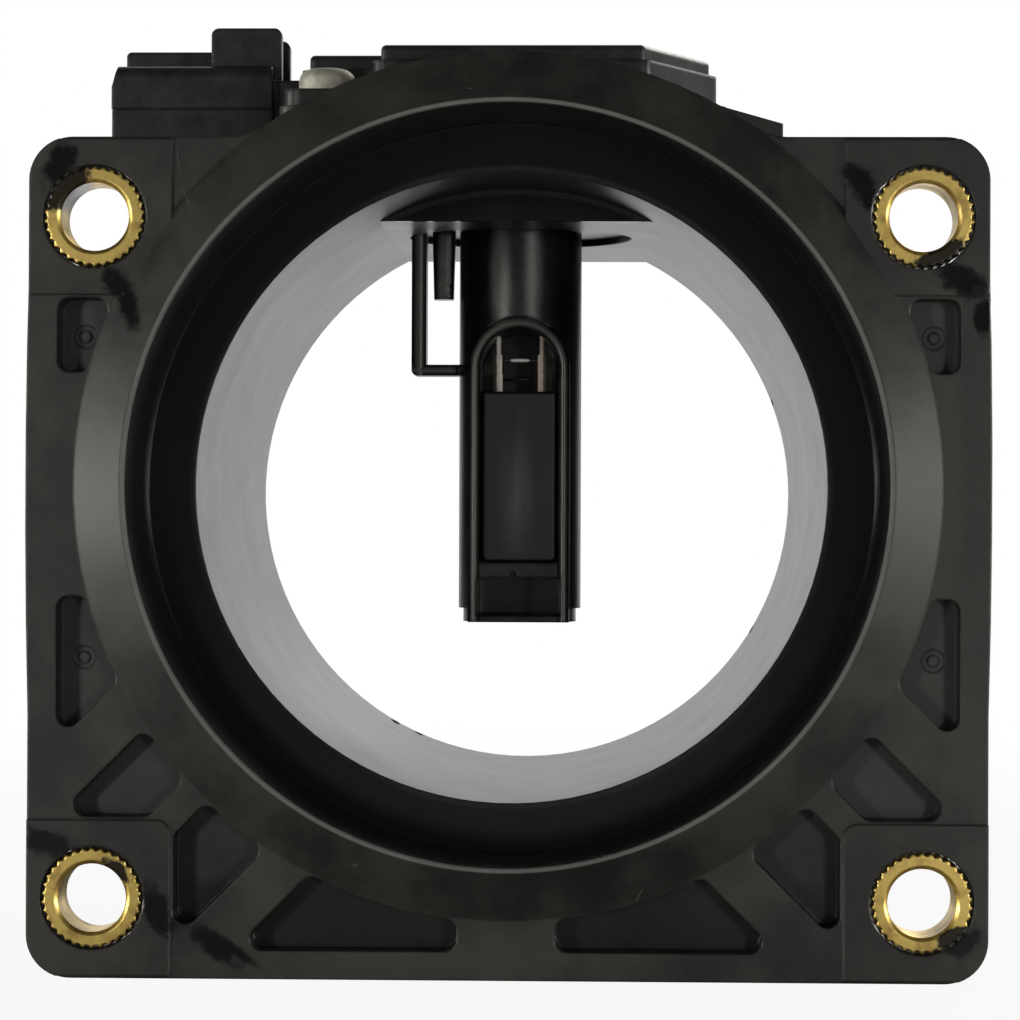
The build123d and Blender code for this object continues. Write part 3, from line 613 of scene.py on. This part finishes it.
def moulded(name, color, roughness, grain=0.3, run=(1, 1, 1), spread=0.5, edge=None, stripes=(),
            arch=False):
    """Satin black plastic: sheen in clouds that may run one way, fine texture, softened edges.

    Stripes are painted highlights, and arch adds the half-round beads with painted highlights on
    their crests, which the left ones have more of.
    """
    finish = Finish(name)
    place = finish.place()
    cloud = finish.noise(finish.stretched(place, run), 260.0, 3.0, 0.6)
    patch = finish.noise(place, 70.0, 2.0)
    fine = finish.noise(place, 1900.0, 3.0)
    tone = (cloud * 0.5 + patch * 0.3 + fine * 0.2).ramp(0.38, 0.62)
    base = finish.blend(tone, times(1 - spread, color), times(1 + 1.6 * spread, color))
    for centre, size, strength in stripes:
        # Each stripe is a painted highlight
        highlight = 1 - finish.reach(place, centre, size).ramp(0.1, 1.0)
        highlight = highlight * (cloud * 0.8 + fine * 0.3) * strength
        base = finish.blend(highlight, base, PAINTED_HIGHLIGHT)
    rough = cloud * 0.14 + patch * 0.06 + (roughness - 0.1)
    radius = settings().edge_radius if edge is None else edge * MM
    normal = finish.bump(fine, 0.03, grain, finish.rounded(radius))
    if arch:
        normal, crest = beads(finish, place, normal)
        left = 1 - finish.axes(place)[0].ramp(-3.0, 3.0)
        # Painted highlight on the crests of the beads, stronger on the left
        shine = crest * crest * (cloud * 0.5 + 0.45) * (left * 0.5 + 0.5)
        base = finish.blend(shine, base, CREST_HIGHLIGHT)
    return finish.surface(Base_Color=base, Roughness=rough, Normal=normal)


def plated(name, color, dull, roughness, clouds=500.0):
    """Metal with duller, darker clouds on it and softened edges."""
    finish = Finish(name)
    cloud = finish.noise(finish.place(), clouds, 3.0, 0.6)
    base = finish.blend(cloud.ramp(0.4, 0.7), color, dull)
    rough = cloud * 0.2 + (roughness - 0.1)
    return finish.surface(
        Base_Color=base, Metallic=1.0, Roughness=rough, Normal=finish.rounded(0.15 * MM),
    )


def post_metal():
    """Solder on the inner half of each post, with painted light on the left post and painted shade
    on the right one, and brown flux outside.
    """
    finish = Finish("post_metal")
    place = finish.place()
    x = finish.axes(place)[0]
    cloud = finish.noise(place, 1500.0, 3.0, 0.6)
    # Painted light on the left post and painted shade on the right one
    left = 1 - x.ramp(-0.5, 0.5)
    base = finish.blend(left, SHADED_SOLDER, LIT_SOLDER)
    inner = box("hot_post_right")[0][0]
    flux = (abs(x) + cloud * 0.3).ramp(inner + 0.65, inner + 0.85)
    base = finish.blend(flux, base, FLUX)
    return finish.surface(
        Base_Color=base, Metallic=0.12 - flux * 0.1, Roughness=cloud * 0.2 + 0.35,
        Normal=finish.rounded(0.1 * MM),
    )


def limiter_brass():
    """Brass with tarnish in clouds, oily dirt that hides part of each limiter, and painted shade in
    the bevel of the lower left one.
    """
    finish = Finish("limiter_brass")
    place = finish.place()
    cloud = finish.noise(place, 420.0, 3.0, 0.6)
    base = finish.blend(cloud.ramp(0.42, 0.72), tuple(settings().brass_color), TARNISH)
    ragged = finish.noise(place, 900.0, 4.0, 0.65) * 1.2 - 0.6
    dirt_and_shade = finish.marks(place, LIMITER_DIRT, ragged, 0.6, 1.15)
    smear = finish.marks(place, LIMITER_SMEAR, ragged, 0.6, 1.1)
    # Painted shade in the bevel of the lower left limiter
    bevel_shade = finish.marks(place, LIMITER_SHADE, ragged, 0.6, 1.1)
    dirt_and_shade = (dirt_and_shade.most(smear).most(bevel_shade * 0.8) * 1.8).least(1.0)
    base = finish.blend(dirt_and_shade * 0.98, base, GREASE_AND_SHADE)
    rough = cloud * 0.2 + 0.26 - dirt_and_shade * 0.12
    normal = finish.bump(finish.noise(place, 1700.0), 0.02, 0.35)
    return finish.surface(Base_Color=base, Metallic=1 - dirt_and_shade * 0.9, Roughness=rough, Normal=normal)


class SENSOR_OT_plastics(bpy.types.Operator):
    """Gives the duct, the case and the other mouldings their plastic"""

    bl_idname = "sensor.plastics"
    bl_label = "Moulded plastics"

    def execute(self, context):
        color = tuple(settings().module_color)
        dress("duct_body", duct_plastic())
        case = moulded(
            "module_plastic", color, 0.33, grain=0.5, edge=0.55, stripes=CASE_HIGHLIGHTS, arch=True,
        )
        dress("sensor_housing", case)
        dress("housing_cover", case)
        panel = moulded(
            "panel_plastic", times(0.25, color), 0.4, grain=0.7, run=(3.2, 3.2, 0.25),
            spread=0.7, edge=0.35, stripes=PANEL_HIGHLIGHT,
        )
        dress("bypass_cover", panel)
        bead = moulded("bead_resin", color, 0.28, grain=1.0, edge=0.9, stripes=BEAD_HIGHLIGHT)
        dress("air_temperature_bead", bead)
        dress("collar_seal", moulded("seal_rubber", color, 0.55))
        return {"FINISHED"}


class SENSOR_OT_metals(bpy.types.Operator):
    """Gives the screws, posts, terminals and board their finish"""

    bl_idname = "sensor.metals"
    bl_label = "Metal pieces"

    def execute(self, context):
        steel = plated("screw_steel", tuple(settings().screw_color), (0.44, 0.43, 0.38), 0.78)
        bright = post_metal()
        tinned = plated("terminal_metal", (0.75, 0.73, 0.66), (0.5, 0.48, 0.42), 0.3, 700.0)
        board = Finish("board_ceramic")
        cloud = board.noise(board.place(), 600.0)
        base = board.blend(cloud, (0.66, 0.66, 0.64), (0.78, 0.78, 0.76))
        board.surface(Base_Color=base, Roughness=0.6)
        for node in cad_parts:
            if node.startswith("screw"):
                dress(node, steel)
            if "_post_" in node:
                dress(node, bright)
            if node.startswith("terminal"):
                dress(node, tinned)
        dress("circuit_board", board.material)
        return {"FINISHED"}


def limiter_points(centre, back, teeth, depth):
    """Points of one knurled sleeve, row by row.

    A row is one step of the profile, which goes round the wall of the sleeve: up the outside,
    over the front rim, down the bevel and the bore, over the back bevel and rim. A column is an
    angle. Radius = the profile's radius - its share of the knurl * depth * (0.5 + 0.5 *
    cos(teeth * angle)) ^ 0.7, so the teeth are rounded and the grooves narrow. The centre is
    the middle of the sleeve, which runs from the face of the flange to back.
    """
    out, bore = BUSHING_RADIUS, BOLT_HOLE_RADIUS
    # Radius, depth behind the face and share of the knurl
    profile = np.array([
        (out - 0.05, back - 0.02, 1.0), (out, back - 0.15, 1.0), (out, back * 0.5, 1.0),
        (out, 0.42, 1.0), (out - 0.03, 0.2, 1.0), (out - 0.12, 0.07, 0.9),
        (out - 0.3, 0.01, 0.6), (out - 0.4, 0.0, 0.3), (out - 0.5, 0.0, 0.0),
        (bore + 0.46, 0.0, 0.0), (bore + 0.38, 0.0, 0.0), (bore + 0.34, 0.03, 0.0),
        (bore + 0.3, 0.06, 0.0), (bore + 0.05, 0.3, 0.0), (bore + 0.01, 0.36, 0.0),
        (bore, 0.45, 0.0), (bore, 0.6, 0.0), (bore, back - 0.6, 0.0), (bore, back - 0.45, 0.0),
        (bore + 0.34, back - 0.02, 0.0), (bore + 0.42, back, 0.0), (out - 0.5, back, 0.0),
    ])
    angle = np.linspace(0, 2 * np.pi, teeth * 10, endpoint=False)
    groove = (0.5 + 0.5 * np.cos(teeth * angle)) ** 0.7
    radius = profile[:, :1] - profile[:, 2:] * depth * groove[None, :]
    x = centre[0] + radius * np.cos(angle)
    z = centre[2] + radius * np.sin(angle)
    y = np.broadcast_to(profile[:, 1:2], radius.shape)
    return np.stack([x, y, z], axis=-1).reshape(-1, 3), radius.shape


class SENSOR_OT_limiters(bpy.types.Operator):
    """Makes the four knurled brass compression limiters"""

    bl_idname = "sensor.limiters"
    bl_label = "Compression limiters"

    def execute(self, context):
        s = settings()
        brass = limiter_brass()
        for corner in ("upper_left", "upper_right", "lower_left", "lower_right"):
            sleeve = f"bushing_{corner}"
            low, high = box(sleeve)
            points, shape = limiter_points(
                (low + high) / 2, high[1], s.knurl_teeth, s.knurl_depth / MM,
            )
            add_piece(
                f"knurled_{corner}", points, ring_faces(*shape), brass,
                (sleeve,),
            )
        return {"FINISHED"}


def element_points(centre, end, radius, half, lead):
    """Points of a sensing element on its leads, row by row along x.

    A row is a station from one post to the other, a column an angle round the leads. Radius =
    lead + (radius - lead) * (1 - (x / half) ^ 4) ^ 0.5 within the half length, else the lead's.
    The first and last rows are at -end and end, and are closed at a point each.
    """
    body = half * np.sin(np.linspace(-np.pi / 2, np.pi / 2, 25))
    x = np.concatenate([[-end], body, [end]])
    swell = np.sqrt(np.clip(1 - (x / half) ** 4, 0, 1))
    rows = lead + (radius - lead) * swell
    angle = np.linspace(0, 2 * np.pi, 20, endpoint=False)
    ring = np.stack([
        np.broadcast_to(x[:, None], (x.size, angle.size)),
        centre[1] + rows[:, None] * np.cos(angle),
        centre[2] + rows[:, None] * np.sin(angle),
    ], axis=-1).reshape(-1, 3)
    poles = np.array([(-end, *centre[1:]), (end, *centre[1:])])
    return np.concatenate([ring, poles]), (x.size, angle.size)


def pip_points(centre, radius, height, foot):
    """Points of a small moulded pip that stands on a face towards -Y.

    A row is a step from its foot to its top, a column an angle. Radius = radius * cos(step) and
    height = height * sin(step), with the first row a little below the face. The poles are the
    middle of the foot and the top.
    """
    step = np.linspace(0, 0.46 * np.pi, 8)
    rise = np.concatenate([[-foot], height * np.sin(step)])
    rows = np.concatenate([[radius], radius * np.cos(step)])
    angle = np.linspace(0, 2 * np.pi, 32, endpoint=False)
    ring = np.stack([
        centre[0] + rows[:, None] * np.cos(angle),
        np.broadcast_to(centre[1] - rise[:, None], (rise.size, angle.size)),
        centre[2] + rows[:, None] * np.sin(angle),
    ], axis=-1).reshape(-1, 3)
    poles = np.array([
        (centre[0], centre[1] + foot, centre[2]), (centre[0], centre[1] - height, centre[2]),
    ])
    return np.concatenate([ring, poles]), (rise.size, angle.size)


class SENSOR_OT_elements(bpy.types.Operator):
    """Makes the hot and the cold sensing element and the small pip on the bar"""

    bl_idname = "sensor.elements"
    bl_label = "Sensing elements"

    def execute(self, context):
        radius = settings().element_radius / MM
        pale = Finish("element_coating")
        place = pale.place()
        cloud = pale.noise(place, 2000.0)
        coat = pale.blend(cloud, (0.6, 0.6, 0.58), (0.85, 0.85, 0.83))
        ends = abs(pale.axes(place)[0]).ramp(ELEMENT_HALF_LENGTH - 0.2, ELEMENT_HALF_LENGTH + 0.1)
        coat = pale.blend(ends, coat, (0.1, 0.09, 0.08))
        pale.surface(Base_Color=coat, Roughness=cloud * 0.2 + 0.35)
        dark = Finish("element_dark")
        cloud = dark.noise(dark.place(), 2000.0)
        coat = dark.blend(cloud, (0.012, 0.012, 0.012), (0.03, 0.03, 0.03))
        dark.surface(Base_Color=coat, Roughness=cloud * 0.2 + 0.35)
        for kind, finish in (("hot", pale), ("cold", dark)):
            wire = f"{kind}_wire"
            low, high = box(wire)
            points, shape = element_points(
                (low + high) / 2, high[0] + INTO_POST, radius, ELEMENT_HALF_LENGTH, LEAD_RADIUS,
            )
            add_piece(
                f"{kind}_element", points, capped_faces(*shape), finish.material,
                (wire,),
            )
        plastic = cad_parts["sensor_housing"].material_slots[0].material
        points, shape = pip_points(PIP_CENTRE, PIP_RADIUS, PIP_HEIGHT, PIP_FOOT)
        add_piece("bar_pip", points, capped_faces(*shape), plastic)
        return {"FINISHED"}


def backdrop_material(name, shadow, behind):
    """White where the camera, gloss or glass looks at it, otherwise a pale matte surface.

    shadow is the matte share that the camera still sees near the sensor, so that its shadow
    stays. Where behind is given, gloss sees the white only further back than that.
    """
    finish = Finish(name)
    camera, gloss, glass = finish.outputs(
        finish.node("ShaderNodeLightPath"),
        ("Is Camera Ray", "Is Glossy Ray", "Is Transmission Ray"),
    )
    place = finish.place()
    if behind is not None:
        gloss = gloss * finish.axes(place)[1].ramp(*behind)
    near = 1 - finish.reach(place, (0, 45, 0), (1, 1, 1)).ramp(110.0, 420.0)
    seen = (camera * (1 - near * shadow)).most(gloss).most(glass)
    matte = finish.node("ShaderNodeBsdfDiffuse", None, {"Color": (0.8, 0.8, 0.8, 1.0)})
    glow = finish.node("ShaderNodeEmission", None, {"Color": (1, 1, 1, 1), "Strength": 1.0})
    mix = finish.node("ShaderNodeMixShader", None, {0: seen, 1: matte, 2: glow})
    finish.tree.links.new(mix.socket, finish.out.inputs["Surface"])
    return finish.material


def add_lamp(name, place, size, power):
    """Makes an area lamp at a place, turned towards the sensor."""
    lamp = bpy.data.lights.new(name, "AREA")
    lamp.shape = "RECTANGLE"
    lamp.size, lamp.size_y = size
    lamp.energy = power
    lamp.color = LIGHT
    owner = link(name, lamp)
    owner.location = place
    towards = Vector(LAMP_TARGET) - Vector(place)
    owner.rotation_euler = towards.to_track_quat("-Z", "Y").to_euler()


def add_world():
    """Makes the world: dim light on the sensor, and white where the camera sees it."""
    world = bpy.data.worlds.new("studio")
    bpy.context.scene.world = world
    world.use_nodes = True
    tree = world.node_tree
    tree.nodes.clear()
    path = tree.nodes.new("ShaderNodeLightPath")
    dim = tree.nodes.new("ShaderNodeBackground")
    dim.inputs["Color"].default_value = (*LIGHT, 1)
    dim.inputs["Strength"].default_value = WORLD_STRENGTH
    white = tree.nodes.new("ShaderNodeBackground")
    white.inputs["Color"].default_value = (1, 1, 1, 1)
    mix = tree.nodes.new("ShaderNodeMixShader")
    out = tree.nodes.new("ShaderNodeOutputWorld")
    tree.links.new(path.outputs["Is Camera Ray"], mix.inputs[0])
    tree.links.new(dim.outputs[0], mix.inputs[1])
    tree.links.new(white.outputs[0], mix.inputs[2])
    tree.links.new(mix.outputs[0], out.inputs["Surface"])


def add_camera():
    """Makes the camera at the photograph's angle."""
    data = bpy.data.cameras.new("camera")
    data.lens = CAMERA_FILM * CAMERA_LENS_WIDTHS
    data.sensor_width = CAMERA_FILM
    data.clip_start = 0.01
    owner = link("camera", data)
    owner.location = Vector(CAMERA_PLACE) * MM
    turn = Matrix.Identity(3)
    for degrees, axis in CAMERA_TURNS:
        turn @= Matrix.Rotation(math.radians(degrees), 3, axis)
    owner.rotation_euler = turn.to_euler()
    bpy.context.scene.camera = owner


class SENSOR_OT_studio(bpy.types.Operator):
    """Makes the floor, the backdrop, the lamps and the camera"""

    bl_idname = "sensor.studio"
    bl_label = "Studio"

    def execute(self, context):
        s = settings()
        for name, corners, shadow, behind in SHEETS:
            mesh = bpy.data.meshes.new(name)
            mesh.from_pydata(corners, [], [(0, 1, 2, 3)])
            mesh.materials.append(backdrop_material(name, shadow, behind))
            sheet = link(name, mesh)
        for name, place, size, power, share in LAMPS:
            add_lamp(name, place, size, getattr(s, power) * share)
        add_world()
        add_camera()
        bpy.context.scene.view_settings.view_transform = "Standard"
        return {"FINISHED"}


class SENSOR_PT_panel(bpy.types.Panel):
    """Lists the steps and the values that they use"""

    bl_idname = "SENSOR_PT_panel"
    bl_label = "Mass airflow sensor"
    bl_space_type = "VIEW_3D"
    bl_region_type = "UI"
    bl_category = "Sensor"

    def draw(self, context):
        for name in SensorSettings.__annotations__:
            self.layout.prop(context.scene.airflow_sensor, name)
        for step in STEPS:
            self.layout.operator(step.bl_idname)


STEPS = (
    SENSOR_OT_studio, SENSOR_OT_plastics, SENSOR_OT_metals, SENSOR_OT_limiters,
    SENSOR_OT_elements,
)


def register():
    """Registers the settings, the steps and the panel."""
    for kind in (SensorSettings, *STEPS, SENSOR_PT_panel):
        bpy.utils.register_class(kind)
    bpy.types.Scene.airflow_sensor = bpy.props.PointerProperty(type=SensorSettings)


def unregister():
    """Takes them away again."""
    del bpy.types.Scene.airflow_sensor
    for kind in (SENSOR_PT_panel, *reversed(STEPS), SensorSettings):
        bpy.utils.unregister_class(kind)


def main():
    """Makes everything in order."""
    register()
    bpy.ops.sensor.studio()
    bpy.ops.sensor.plastics()
    bpy.ops.sensor.metals()
    bpy.ops.sensor.limiters()
    bpy.ops.sensor.elements()


if __name__ == "__main__":
    main()
